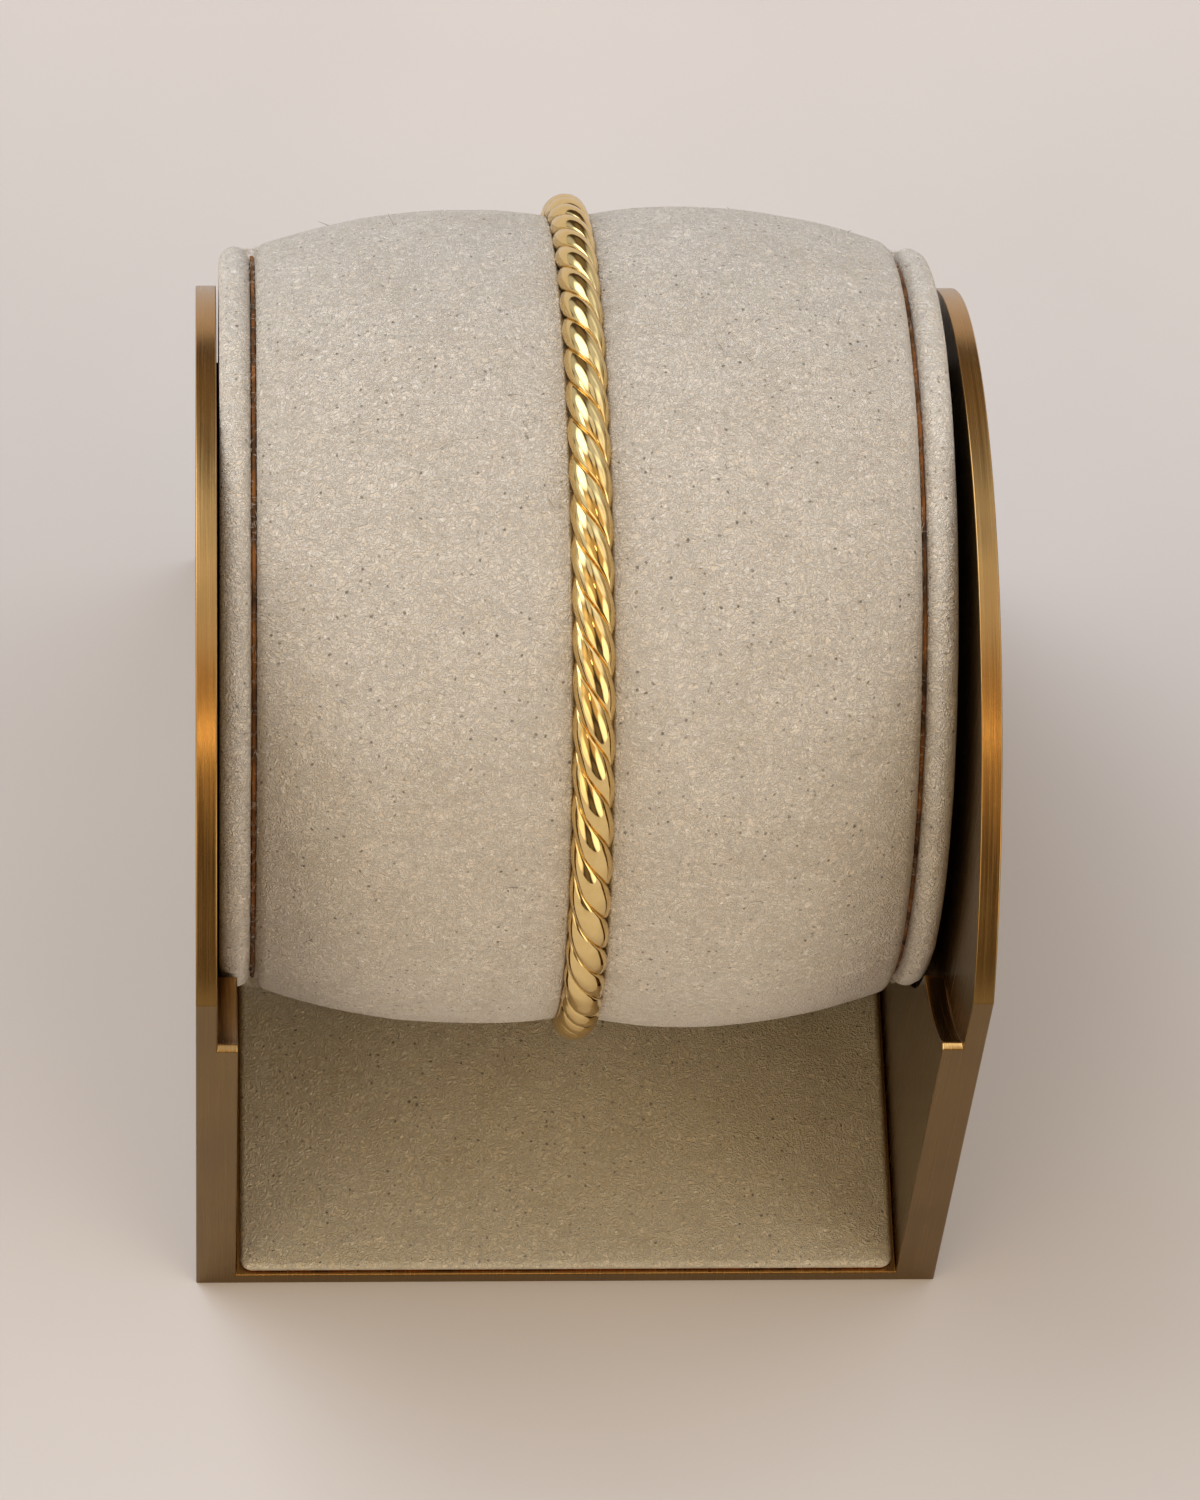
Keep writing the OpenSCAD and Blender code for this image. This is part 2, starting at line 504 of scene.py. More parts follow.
@dataclass(frozen=True)
class Mottled:
    """A matt surface whose colour wanders between two tones.

    The stops say where the noise reaches the first tone and the last one.
    """

    name: str
    low: str
    high: str
    patch_mm: float
    detail: float
    stops: tuple[float, float]
    roughness: float
    specular: float = 0.5
    relief_mm: float = 0.0

    def material(self) -> bpy.types.Material:
        """Makes the material.

        Returns:
            The mottled material.
        """
        made, tree, shader, place = new_material(self.name)
        shader.inputs["Roughness"].default_value = self.roughness
        shader.inputs["Specular IOR Level"].default_value = self.specular
        patch = add_node(
            tree, "TexNoise",
            {"Scale": 1 / (self.patch_mm * MM), "Detail": self.detail}, {"Vector": place},
        )
        tone = ramp(
            add_node(tree, "ValToRGB", None, {"Fac": patch.outputs["Fac"]}),
            [(self.stops[0], self.low), (self.stops[1], self.high)],
        )
        tree.links.new(tone.outputs["Color"], shader.inputs["Base Color"])
        if self.relief_mm:
            bump = add_node(
                tree, "Bump", {"Strength": 0.8, "Distance": self.relief_mm * MM},
                {"Height": patch.outputs["Fac"]},
            )
            tree.links.new(bump.outputs["Normal"], shader.inputs["Normal"])
        return made


@dataclass(frozen=True)
class RawLeather(Mottled):
    """Vegetable tanned leather board, cut and left raw.

    The cut shows loose brown fibres, with orange patches where they catch the light.
    """

    name: str = "raw_tanned_leather_edge"
    low: str = "#4a2f12"
    high: str = "#a2662b"
    patch_mm: float = 2.2
    detail: float = 5.0
    stops: tuple[float, float] = (0.38, 0.66)
    roughness: float = 0.85
    relief_mm: float = 0.08


@dataclass(frozen=True)
class SuedeFibre(Mottled):
    """Single cut fibres of the suede, matt, paler and darker from one to the next."""

    name: str = "suede_fibre"
    low: str = "#d2c5b0"
    high: str = "#ece3d5"
    patch_mm: float = 2.0
    detail: float = 1.0
    stops: tuple[float, float] = (0.35, 0.65)
    roughness: float = 0.9


@dataclass(frozen=True)
class GreyLint(SuedeFibre):
    """Stray textile lint: matt grey threads on the cream suede."""

    name: str = "grey_lint"
    low: str = "#857c6d"
    high: str = "#a59c8c"


@dataclass(frozen=True)
class MattePaper(Mottled):
    """Seamless studio paper: plain, matt and very slightly warm, with a faint cloudiness."""

    name: str = "matte_studio_paper"
    low: str = "#d9d4d1"
    high: str = "#ddd8d5"
    patch_mm: float = 40.0
    detail: float = 2.0
    stops: tuple[float, float] = (0.3, 0.7)
    roughness: float = 0.8
    specular: float = 0.2


# Shapes


@dataclass
class Shell:
    """Points and faces of one mesh, in millimetres, before it becomes a piece."""

    points: np.ndarray
    faces: list[tuple[int, ...]] = field(default_factory=list)
    marks: list[int] = field(default_factory=list)

    def piece(
        self,
        name: str,
        materials: list[bpy.types.Material],
        slot: Slot,
        nodes: tuple[str, ...] = (),
    ) -> bpy.types.Object:
        """Turns the shell into a piece of the object that rides on its body.

        Args:
            name: The piece's name.
            materials: One material for each mark that the faces use.
            slot: The record's slot that the piece's finish belongs to. It is not used.
            nodes: The CAD nodes that the piece stands for.

        Returns:
            The piece.
        """
        mesh = bpy.data.meshes.new(name)
        mesh.from_pydata((self.points * MM).tolist(), [], self.faces)
        for material in materials:
            mesh.materials.append(material)
        if self.marks:
            mesh.polygons.foreach_set("material_index", self.marks)
        mesh.polygons.foreach_set("use_smooth", [True] * len(mesh.polygons))
        worked = bmesh.new()
        worked.from_mesh(mesh)
        bmesh.ops.recalc_face_normals(worked, faces=worked.faces)
        worked.to_mesh(mesh)
        worked.free()
        made = bpy.data.objects.new(name, mesh)
        bpy.context.scene.collection.objects.link(made)
        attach(made, "root")
        if nodes:
            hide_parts(*nodes)
        log.info("%s: %d faces", name, len(self.faces))
        return made


@dataclass(frozen=True)
class Swell:
    """Irregular swellings of one size: their height, wave length and seed."""

    height: float
    size: float
    seed: int


def swell(swells: tuple[Swell, ...], points: np.ndarray, shape: tuple[int, ...]) -> np.ndarray:
    """Sums swellings over points in space.

    Args:
        swells: The swellings.
        points: Rows of x, y, z.
        shape: Rows and columns that the points stand for.

    Returns:
        The height of each point, in that shape.
    """
    return sum(one.height * waves(points, one.size, one.seed) for one in swells).reshape(shape)


@dataclass(frozen=True)
class Fade:
    """Rises evenly from nothing at one distance to all of it over a stretch."""

    start: float
    over: float

    def at(self, distance: np.ndarray) -> np.ndarray:
        """Share, 0 to 1, that is reached at each distance."""
        return np.clip((distance - self.start) / self.over, 0, 1)


@dataclass(frozen=True)
class Stand:
    """Sizes that the stand's pieces share, and the way from measured places to the frame."""

    width: float = 60.0
    depth: float = 68.35
    plate: float = 3.2
    pocket: float = 1.6
    base: float = 1.4
    roll_from_front: float = 39.88
    roll_height: float = 38.69
    ring_from_left: float = 29.4
    ring_skew: float = math.radians(0.85)

    @property
    def axis_y(self) -> float:
        """The roll's axis along Y, in the frame."""
        return self.roll_from_front - self.depth / 2

    def around(self, from_left: np.ndarray, radius: np.ndarray, angle: np.ndarray) -> np.ndarray:
        """Places points by their distance from the roll's axis.

        Args:
            from_left: Distance from the stand's left side.
            radius: Distance from the roll's axis.
            angle: Turn about the axis in radians, from the back over the top.

        Returns:
            Rows of x, y, z in the frame.
        """
        return np.stack(
            [
                from_left - self.width / 2,
                self.axis_y + radius * np.cos(angle),
                self.roll_height + radius * np.sin(angle),
            ],
            axis=-1,
        )

    def ring_at(self, angle: np.ndarray, radius: float) -> np.ndarray:
        """Where the skewed bangle crosses the roll.

        Args:
            angle: Turn about the roll's axis in radians.
            radius: Distance from the axis.

        Returns:
            Distances from the stand's left side.
        """
        return self.ring_from_left - math.tan(self.ring_skew) * radius * np.cos(angle)

    def turned(
        self,
        from_left: np.ndarray,
        radius: np.ndarray,
        uneven: Callable[[np.ndarray, np.ndarray], np.ndarray],
    ) -> Shell:
        """Turns an outline round the roll's axis and closes both of its ends.

        Args:
            from_left: Distances from the stand's left side, one row for all steps or one each.
            radius: Distances from the axis.
            uneven: Gives the change in radius from the even points and their radii.

        Returns:
            The closed shell.
        """
        turn = np.linspace(0, 2 * math.pi, AROUND_STEPS, endpoint=False)
        columns = len(radius)
        angle = np.repeat(turn[:, None], columns, axis=1)
        places = np.broadcast_to(from_left, angle.shape)
        spread = np.broadcast_to(radius, angle.shape)
        even = self.around(places, spread, angle).reshape(-1, 3)
        spread = spread + uneven(even, spread)
        points = self.around(places, spread, angle).reshape(-1, 3)
        faces = grid_faces(AROUND_STEPS, columns)
        for column in (0, columns - 1):
            faces.append(tuple(range(column, len(points), columns)))
        return Shell(points, faces)


def grid_faces(rows: int, columns: int, tube: bool = False) -> list[tuple[int, ...]]:
    """Faces of a sheet of points, whose last row joins its first.

    Args:
        rows: How many rows of points there are.
        columns: How many points each row has.
        tube: Whether each row closes into a ring too.

    Returns:
        Four-sided faces.
    """
    here = np.arange(rows)[:, None] * columns
    ahead = np.roll(here, -1, axis=0)
    first = np.arange(columns if tube else columns - 1)[None, :]
    second = (first + 1) % columns
    quads = np.stack(
        [here + first, ahead + first, ahead + second, here + second], axis=-1
    ).reshape(-1, 4)
    return [tuple(quad) for quad in quads.tolist()]


# The stand


@dataclass
class Cradle:
    """Two arched side plates with round pockets, soldered to the base plate."""

    stand: Stand
    arch_radius: float = 36.35
    arch_height: float = 32.0
    ledge_height: float = 41.6
    pocket_radius: float = 29.4
    scoop_radius: float = 25.8
    scoop_from_front: float = 22.2
    scoop_height: float = 55.8
    arch_steps: int = 120
    scoop_steps: int = 24
    pocket_steps: int = 90
    edge_break: float = 0.16

    def build(self, finish: BrushedBronze) -> bpy.types.Object:
        """Builds the cradle as one closed mesh and breaks its edges.

        Args:
            finish: The bronze.

        Returns:
            The cradle piece.
        """
        made = self._shell().piece("cradle_metal", [finish.material()], Slot.BRONZE, ("cradle",))
        edges = made.modifiers.new("broken_edges", "BEVEL")
        edges.width = self.edge_break * MM
        edges.segments = 3
        edges.limit_method = "ANGLE"
        edges.angle_limit = math.radians(25)
        edges.harden_normals = False
        even = made.modifiers.new("flat_faces", "WEIGHTED_NORMAL")
        even.keep_sharp = False
        return made

    def _arch(self) -> np.ndarray:
        """Finds the arch's outline, from the front edge over to the back.

        Returns:
            Rows of distance from the front and height.
        """
        centre = self.stand.depth - self.arch_radius
        start = math.pi - math.asin(math.sqrt(self.arch_radius**2 - centre**2) / self.arch_radius)
        turn = np.linspace(start, 0.0, self.arch_steps)
        return arc(np.array([centre, self.arch_height]), self.arch_radius, turn)

    def _pocket(self) -> np.ndarray:
        """Finds the upper outline of the part below the pocket: ledge, scoop, then the pocket.

        Returns:
            Rows of distance from the front and height.
        """
        axis = np.array([self.stand.roll_from_front, self.stand.roll_height])
        scoop = np.array([self.scoop_from_front, self.scoop_height])
        # The scoop's circle meets the pocket's circle at two corners, and the front one counts.
        gap = axis - scoop
        apart = float(np.linalg.norm(gap))
        along = (apart**2 + self.scoop_radius**2 - self.pocket_radius**2) / (2 * apart)
        off = math.sqrt(self.scoop_radius**2 - along**2)
        unit = gap / apart
        sides = [scoop + unit * along + s * off * np.array([-unit[1], unit[0]]) for s in (1, -1)]
        corner = min(sides, key=lambda side: side[0])
        first = math.pi + math.asin((self.scoop_height - self.ledge_height) / self.scoop_radius)
        last = math.atan2(corner[1] - scoop[1], corner[0] - scoop[0]) + 2 * math.pi
        pocket_first = math.atan2(corner[1] - axis[1], corner[0] - axis[0]) + 2 * math.pi
        pocket_last = 2 * math.pi - math.acos((self.stand.depth - axis[0]) / self.pocket_radius)
        return np.concatenate(
            [
                [[0.0, self.ledge_height]],
                arc(scoop, self.scoop_radius, np.linspace(first, last, self.scoop_steps)),
                arc(axis, self.pocket_radius,
                    np.linspace(pocket_first, pocket_last, self.pocket_steps)[1:]),
            ]
        )

    def _shell(self) -> Shell:
        """Makes the whole cradle from flat faces and strips with shared corners.

        Returns:
            The closed shell.
        """
        half, depth = self.stand.width / 2, self.stand.depth
        layers = (half, half - self.stand.plate + self.stand.pocket, half - self.stand.plate)
        base = self.stand.base
        arch, pocket = self._arch(), self._pocket()
        points: list[tuple[float, float, float]] = []
        known: dict[tuple[float, float, float], int] = {}

        def corner(x: float, y: float, z: float) -> int:
            """Finds the corner at a place, or makes it.

            Args:
                x: Place along X.
                y: Distance from the front.
                z: Height.

            Returns:
                The corner's number.
            """
            key = (round(x, 5), round(y - depth / 2, 5), round(z, 5))
            if key not in known:
                known[key] = len(points)
                points.append(key)
            return known[key]

        def face(places: list[tuple[float, float, float]]) -> tuple[int, ...]:
            """A face through these places."""
            return tuple(corner(*place) for place in places)

        faces: list[tuple[int, ...]] = []
        back_arch, back_pocket = self.arch_height, float(pocket[-1][1])
        front_arch = float(arch[0][1])
        for side in (-1, 1):
            outer, floor, inner = (side * layer for layer in layers)
            over = [(y, z) for y, z in arch]
            edge = [(y, z) for y, z in pocket]
            faces.append(face([(outer, 0, 0)] + [(outer, y, z) for y, z in over]
                              + [(outer, depth, 0)]))
            faces.append(face([(floor, y, z) for y, z in edge]
                              + [(floor, y, z) for y, z in reversed(over)]))
            faces.append(face([(inner, 0, base)] + [(inner, y, z) for y, z in edge]
                              + [(inner, depth, base)]))
            for (y0, z0), (y1, z1) in zip(over, over[1:]):
                faces.append(face([(outer, y0, z0), (floor, y0, z0),
                                   (floor, y1, z1), (outer, y1, z1)]))
            for (y0, z0), (y1, z1) in zip(edge, edge[1:]):
                faces.append(face([(floor, y0, z0), (inner, y0, z0),
                                   (inner, y1, z1), (floor, y1, z1)]))
        for y, top, ledge in ((0.0, front_arch, self.ledge_height), (depth, back_arch, back_pocket)):
            left = [(-layers[0], y, 0), (-layers[0], y, top), (-layers[1], y, top),
                    (-layers[1], y, ledge), (-layers[2], y, ledge), (-layers[2], y, base)]
            faces.append(face(left + [(-x, py, z) for x, py, z in reversed(left)]))
        faces.append(face([(-layers[2], 0, base), (layers[2], 0, base),
                           (layers[2], depth, base), (-layers[2], depth, base)]))
        faces.append(face([(-half, 0, 0), (half, 0, 0), (half, depth, 0), (-half, depth, 0)]))
        return Shell(np.array(points), faces)


@dataclass
class BasePad:
    """Suede pad on the base plate, with its raw lower edge showing at the front."""

    stand: Stand
    thickness: float = 1.0
    side_gap: float = 0.35
    setback: float = 0.3
    corner: float = 1.0
    seat: float = 0.05
    raw_edge: float = 0.3
    top_rounding: float = 0.5
    side_steps: int = 64
    grain: float = 0.035

    def build(self, suede: bpy.types.Material, raw: bpy.types.Material) -> bpy.types.Object:
        """Builds the pad: a flat top with faint waves, a rolled edge and a raw band below it.

        Args:
            suede: Material of the top.
            raw: Material of the cut lower edge.

        Returns:
            The pad piece.
        """
        half_x = self.stand.width / 2 - self.stand.plate - self.side_gap
        half_y = self.stand.depth / 2 - self.setback
        low = self.stand.base + self.seat
        rows = self._rows(low)
        around = self._outline(half_x, half_y)
        half = np.array([half_x, half_y])
        points = [
            np.column_stack([around * (half - inset) / half, np.full(len(around), height)])
            for inset, height in rows
        ]
        faces, marks = [], []
        count = len(around)
        for row in range(len(rows) - 1):
            for k in range(count):
                nxt = (k + 1) % count
                faces.append((row * count + k, row * count + nxt,
                              (row + 1) * count + nxt, (row + 1) * count + k))
                marks.append(1 if rows[row][1] < low + self.raw_edge - 1e-6 else 0)
        points.append(np.array([[0.0, 0.0, rows[-1][1]]]))
        last = (len(rows) - 1) * count
        for k in range(count):
            faces.append((last + k, last + (k + 1) % count, last + count))
            marks.append(0)
        faces.append(tuple(range(count - 1, -1, -1)))
        marks.append(1)
        stacked = np.concatenate(points)
        lift = np.clip((stacked[:, 2] - low - 0.5 * self.thickness) / self.thickness, 0, 0.5) * 2
        stacked[:, 2] += lift * self.grain * waves(stacked, 9.0, 31)
        piece = Shell(stacked, faces, marks).piece("base_pad_suede", [suede, raw], Slot.SUEDE,
                                                   ("base_pad",))
        return piece

    def _rows(self, low: float) -> list[tuple[float, float]]:
        """Lists the rings of points, from the underside to the flat top.

        Args:
            low: Height of the underside.

        Returns:
            Inset and height of each ring.
        """
        edge, top = self.top_rounding, low + self.thickness
        rows = [(0.12, low), (0.06, low + 0.12), (0.1, low + self.raw_edge),
                (0.0, low + self.raw_edge + 0.02)]
        for k in range(1, 7):
            turn = math.pi / 2 * k / 6
            rows.append((edge * (1 - math.cos(turn)), top - edge + edge * math.sin(turn)))
        return rows + [(inset, top) for inset in (2.0, 5.0, 12.0, 20.0)]

    def _outline(self, half_x: float, half_y: float) -> np.ndarray:
        """Finds the closed outline of the pad in plan, with round corners.

        Args:
            half_x: Half the pad's width.
            half_y: Half the pad's depth.

        Returns:
            Rows of x and y.
        """
        marks = []
        for sx, sy, start in ((1, -1, -90), (1, 1, 0), (-1, 1, 90), (-1, -1, 180)):
            for k in range(9):
                turn = math.radians(start + 90 * k / 8)
                marks.append((sx * (half_x - self.corner) + self.corner * math.cos(turn),
                              sy * (half_y - self.corner) + self.corner * math.sin(turn)))
        full = []
        for (x0, y0), (x1, y1) in zip(marks, marks[1:] + marks[:1]):
            cuts = self.side_steps if math.hypot(x1 - x0, y1 - y0) > 5 else 1
            for k in range(cuts):
                full.append((x0 + (x1 - x0) * k / cuts, y0 + (y1 - y0) * k / cuts))
        return np.array(full)


# The roll


@dataclass(frozen=True)
class Crown:
    """One half of the roll's crowned outline, on one side of the bangle."""

    side: int
    end: float
    top: float
    top_radius: float
    bend: float
    rounding: float = 1.2

    def outline(self, until: float, steps: int = 90) -> np.ndarray:
        """Outline from the end edge to a place near the bangle.

        Args:
            until: Distance from left where the outline stops.
            steps: Points along the crown.

        Returns:
            Rows of distance from left and radius.
        """
        reach = abs(self.end - self.top) - self.rounding
        lean = math.asin(reach / (self.bend - self.rounding))
        centre_x = self.top + self.side * reach
        centre_r = self.top_radius - self.bend + (self.bend - self.rounding) * math.cos(lean)
        last = math.asin(self.side * (until - self.top) / self.bend)
        edge = np.linspace(math.pi / 2, lean, 10)[:-1]
        crown = np.linspace(lean, last, steps)
        return np.concatenate(
            [
                np.stack([centre_x + self.side * self.rounding * np.sin(edge),
                          centre_r + self.rounding * np.cos(edge)], -1),
                np.stack([self.top + self.side * self.bend * np.sin(crown),
                          self.top_radius - self.bend + self.bend * np.cos(crown)], -1),
            ]
        )


@dataclass
class SuedeRoll:
    """Crowned suede roll that fills the bangle, with the furrow the wire presses in."""

    stand: Stand
    left: Crown = Crown(side=-1, end=4.6, top=21.5, top_radius=32.13, bend=48.6)
    right: Crown = Crown(side=1, end=54.6, top=38.5, top_radius=32.42, bend=45.0)
    ring_radius: float = 31.84
    furrow_radius: float = 1.58
    pinch: float = 0.02
    furrow_reach: float = 2.6
    lip: float = 0.07
    skew_reach: float = 7.0
    swells: tuple[Swell, ...] = (Swell(0.05, 11.0, 5), Swell(0.022, 3.2, 6))
    calm: Fade = Fade(1.2, 2.5)
    body: Fade = Fade(26.0, 3.0)

    def build(self, suede: bpy.types.Material) -> bpy.types.Object:
        """Builds the roll.

        Args:
            suede: Material of the cover.

        Returns:
            The roll piece.
        """
        ring = self.stand.ring_from_left
        across, radius = self._profile().T
        turn = np.linspace(0, 2 * math.pi, AROUND_STEPS, endpoint=False)
        shift = self.stand.ring_at(turn, self.ring_radius)[:, None] - ring
        near = np.exp(-(((across - ring) / self.skew_reach) ** 2))
        swollen = self.calm.at(np.abs(across - ring))

        def uneven(even: np.ndarray, spread: np.ndarray) -> np.ndarray:
            """Soft swellings of the filling, calm beside the wire and on the flat ends."""
            return swell(self.swells, even, spread.shape) * swollen * self.body.at(spread)

        piece = self.stand.turned(across + shift * near, radius, uneven).piece(
            "roll_suede", [suede], Slot.SUEDE, ("roll_cushion",)
        )
        return piece

    def surface(self, from_left: np.ndarray) -> np.ndarray:
        """Finds the radius of the roll's surface.

        Args:
            from_left: Distances from the stand's left side.

        Returns:
            One radius for each.
        """
        profile = self._profile()
        order = np.argsort(profile[:, 0], kind="stable")
        return np.interp(from_left, profile[order, 0], profile[order, 1])

    def _profile(self) -> np.ndarray:
        """Joins both crowns and presses the furrow in between.

        Returns:
            Rows of distance from left and radius, from left to right.
        """
        ring, reach = self.stand.ring_from_left, self.furrow_reach
        left = self.left.outline(ring - reach)
        right = self.right.outline(ring + reach)
        middle_x = np.linspace(ring - reach, ring + reach, 44)[1:-1]
        crown = np.where(
            middle_x < ring,
            self.left.top_radius - self.left.bend
            + np.sqrt(self.left.bend**2 - (middle_x - self.left.top) ** 2),
            self.right.top_radius - self.right.bend
            + np.sqrt(self.right.bend**2 - (middle_x - self.right.top) ** 2),
        )
        middle = np.stack([middle_x, crown], -1)
        whole = np.concatenate([left, middle, right[::-1]])
        off = np.abs(whole[:, 0] - ring)
        whole[:, 1] -= self.pinch * np.exp(-np.clip(off - 1.6, 0, None) / 1.6)
        inside = np.clip(self.furrow_radius**2 - off**2, 0, None)
        furrow = self.ring_radius - np.sqrt(inside) + np.clip(off - self.furrow_radius, 0, None) * 40
        whole[:, 1] = smooth_min(whole[:, 1], furrow, self.lip)
        return np.concatenate(
            [[[self.left.end, CAP_RADIUS]], whole, [[self.right.end, CAP_RADIUS]]]
        )


@dataclass
class EndDisc:
    """Suede covered board disc with a fully round rim."""

    stand: Stand
    side: str
    from_left: float
    radius: float = 29.2
    thickness: float = 2.4
    rim_steps: int = 19
    seed: int = 11
    sunk: float = 0.06
    on_rim: Fade = Fade(27.4, 1.2)

    def build(self, suede: bpy.types.Material) -> bpy.types.Object:
        """Builds the disc with the slight unevenness of a hand-wrapped rim.

        Args:
            suede: Material of the cover.

        Returns:
            The disc piece.
        """
        half = self.thickness / 2
        rim = np.linspace(-math.pi / 2, math.pi / 2, self.rim_steps)
        across = np.concatenate([[self.from_left], self.from_left + half + half * np.sin(rim),
                                 [self.from_left + self.thickness]])
        radius = np.concatenate(
            [[CAP_RADIUS], self.radius - half + half * np.cos(rim), [CAP_RADIUS]]
        )
        piece = self.stand.turned(across, radius, self._uneven).piece(
            f"disc_suede_{self.side}", [suede], Slot.SUEDE, (f"end_disc_{self.side}",)
        )
        return piece

    def _uneven(self, even: np.ndarray, radius: np.ndarray) -> np.ndarray:
        """Bumps on the rim where the suede is pulled round by hand.

        Args:
            even: Points of the even disc.
            radius: Their distances from the axis.

        Returns:
            The change in radius.
        """
        swells = (Swell(0.05, 4.5, self.seed), Swell(0.03, 1.6, self.seed + 10))
        return (swell(swells, even, radius.shape) - self.sunk) * self.on_rim.at(radius)


@dataclass
class RawBoard:
    """Thin board of raw leather whose edge shows between disc and roll."""

    stand: Stand
    side: str
    from_left: float
    radius: float = 28.5
    thickness: float = 0.3
    wear_and_painted_light: float = 0.05
    nicks: Swell = Swell(0.06, 1.1, 21)

    def build(self, raw: bpy.types.Material) -> bpy.types.Object:
        """Builds the board with a slightly ragged rim.

        Args:
            raw: The raw leather.

        Returns:
            The board piece.
        """
        across = self.from_left + np.array([0.0, 0.0, 0.3, 0.7, 1.0, 1.0]) * self.thickness
        wear_and_painted_light, rim = self.radius - self.wear_and_painted_light, self.radius
        radius = np.array([CAP_RADIUS, wear_and_painted_light, rim, rim, wear_and_painted_light, CAP_RADIUS])
        return self.stand.turned(across, radius, self._ragged).piece(
            f"raw_board_{self.side}", [raw], Slot.RAW_LEATHER, (f"end_board_{self.side}",)
        )

    def _ragged(self, even: np.ndarray, radius: np.ndarray) -> np.ndarray:
        """Nicks and tufts of the cut rim.

        Args:
            even: Points of the even board.
            radius: Their distances from the axis.

        Returns:
            The change in radius.
        """
        nicks = swell((self.nicks,), even, radius.shape) - self.nicks.height
        return nicks * (radius > CAP_RADIUS)


@dataclass
class Fibres:
    """Short loose fibres that stand on the suede, each a tapered three-sided thread.

    Real ones are some 0.02 mm thick. They are drawn thicker, or they would not show.
    A lean of 0 stands straight up and 1 lies almost flat. The curl says how far a thread
    bends sideways over its length, in radians, and the rings of three points come before
    its tip.
    """

    seed: int
    thickness: float
    lean: float
    curl: float
    rings: int = 3

    def shell(self, roots: np.ndarray, normals: np.ndarray, lengths: np.ndarray) -> Shell:
        """Makes the threads.

        Args:
            roots: Where each thread starts.
            normals: The surface's outward direction there.
            lengths: Length of each thread.

        Returns:
            All threads as one shell.
        """
        rng = np.random.default_rng(self.seed)
        count, rings = len(roots), self.rings
        side = rng.normal(size=(count, 3))
        side -= normals * np.sum(side * normals, axis=1, keepdims=True)
        side /= np.linalg.norm(side, axis=1, keepdims=True)
        other = np.cross(normals, side)
        bend = rng.uniform(-self.curl, self.curl, count)
        way = rng.uniform(0.5, 1.0, count) * self.lean
        spine = [roots - normals * 0.02]
        for k in range(1, rings + 1):
            part = k / rings
            turned = (side * np.cos(bend * part)[:, None] + other * np.sin(bend * part)[:, None])
            step = normals * (1 - way * min(1.0, 0.6 + part))[:, None] + turned * way[:, None]
            step /= np.linalg.norm(step, axis=1, keepdims=True)
            spine.append(spine[-1] + step * (lengths / rings)[:, None])
        points = []
        for k, centre in enumerate(spine[:-1]):
            width = self.thickness / 2 * (1 - 0.5 * k / rings)
            for corner in range(3):
                turn = 2 * math.pi * corner / 3
                points.append(centre + width * (math.cos(turn) * other + math.sin(turn) * normals))
        points.append(spine[-1])
        each = len(points)
        stacked = np.stack(points, axis=1).reshape(-1, 3)
        pattern = []
        for k in range(rings - 1):
            for corner in range(3):
                nxt = (corner + 1) % 3
                pattern.append((3 * k + corner, 3 * k + nxt, 3 * k + 3 + nxt, 3 * k + 3 + corner))
        for corner in range(3):
            pattern.append((3 * rings - 3 + corner, 3 * rings - 3 + (corner + 1) % 3, each - 1))
        faces = [tuple(i + thread * each for i in part)
                 for thread in range(count) for part in pattern]
        return Shell(stacked, faces)


@dataclass(frozen=True)
class FuzzBand:
    """A narrow band round the roll's axis that fibres grow from."""

    from_left: float
    spread: float
    radius: float
    beside_ring: bool = False


@dataclass
class SuedeNap:
    """Fuzz along the suede's edges and stray lint lying on the roll."""

    stand: Stand
    roll: SuedeRoll
    edge_fibres: int = 7000
    fuzz_lengths: tuple[float, float] = (0.25, 0.6)
    lint: int = 70
    lint_lengths: tuple[float, float] = (0.6, 1.7)
    bands: tuple[FuzzBand, ...] = (
        FuzzBand(4.75, 0.25, 28.95),
        FuzzBand(54.45, 0.25, 28.95),
        FuzzBand(4.0, 0.2, 28.85),
        FuzzBand(55.2, 0.2, 28.85),
        FuzzBand(27.5, 0.25, 31.55, True),
        FuzzBand(31.35, 0.25, 31.55, True),
    )

    def build(self) -> list[bpy.types.Object]:
        """Builds the fuzz and the lint.

        Returns:
            The two pieces.
        """
        rng = np.random.default_rng(3)
        roots, normals = [], []
        each = self.edge_fibres // len(self.bands)
        for band in self.bands:
            turn = rng.uniform(0, 2 * math.pi, each)
            across = band.from_left + rng.uniform(-band.spread, band.spread, each)
            if band.beside_ring:
                ring = self.stand.ring_at(turn, self.roll.ring_radius)
                across = across + ring - self.stand.ring_from_left
            roots.append(self.stand.around(across, np.full(each, band.radius), turn))
            normals.append(np.stack([np.zeros(each), np.cos(turn), np.sin(turn)], -1))
        fuzz = Fibres(seed=8, thickness=0.035, lean=0.85, curl=0.9).shell(
            np.concatenate(roots), np.concatenate(normals),
            rng.uniform(*self.fuzz_lengths, each * len(self.bands)),
        ).piece("suede_fuzz", [SuedeFibre().material()], Slot.SUEDE)
        turn = rng.uniform(0, 2 * math.pi, self.lint)
        across = rng.uniform(6.5, 53.0, self.lint)
        under_wire = np.abs(across - self.stand.ring_from_left) < 3.0
        across = np.where(under_wire, across + 6.0, across)
        out = np.stack([np.zeros(self.lint), np.cos(turn), np.sin(turn)], -1)
        places = self.stand.around(across, self.roll.surface(across) + 0.03, turn)
        lint = Fibres(seed=9, thickness=0.07, lean=0.985, curl=2.2, rings=7).shell(
            places, out, rng.uniform(*self.lint_lengths, self.lint)
        ).piece("lint", [GreyLint().material()], Slot.SUEDE)
        return [fuzz, lint]


# The bangle


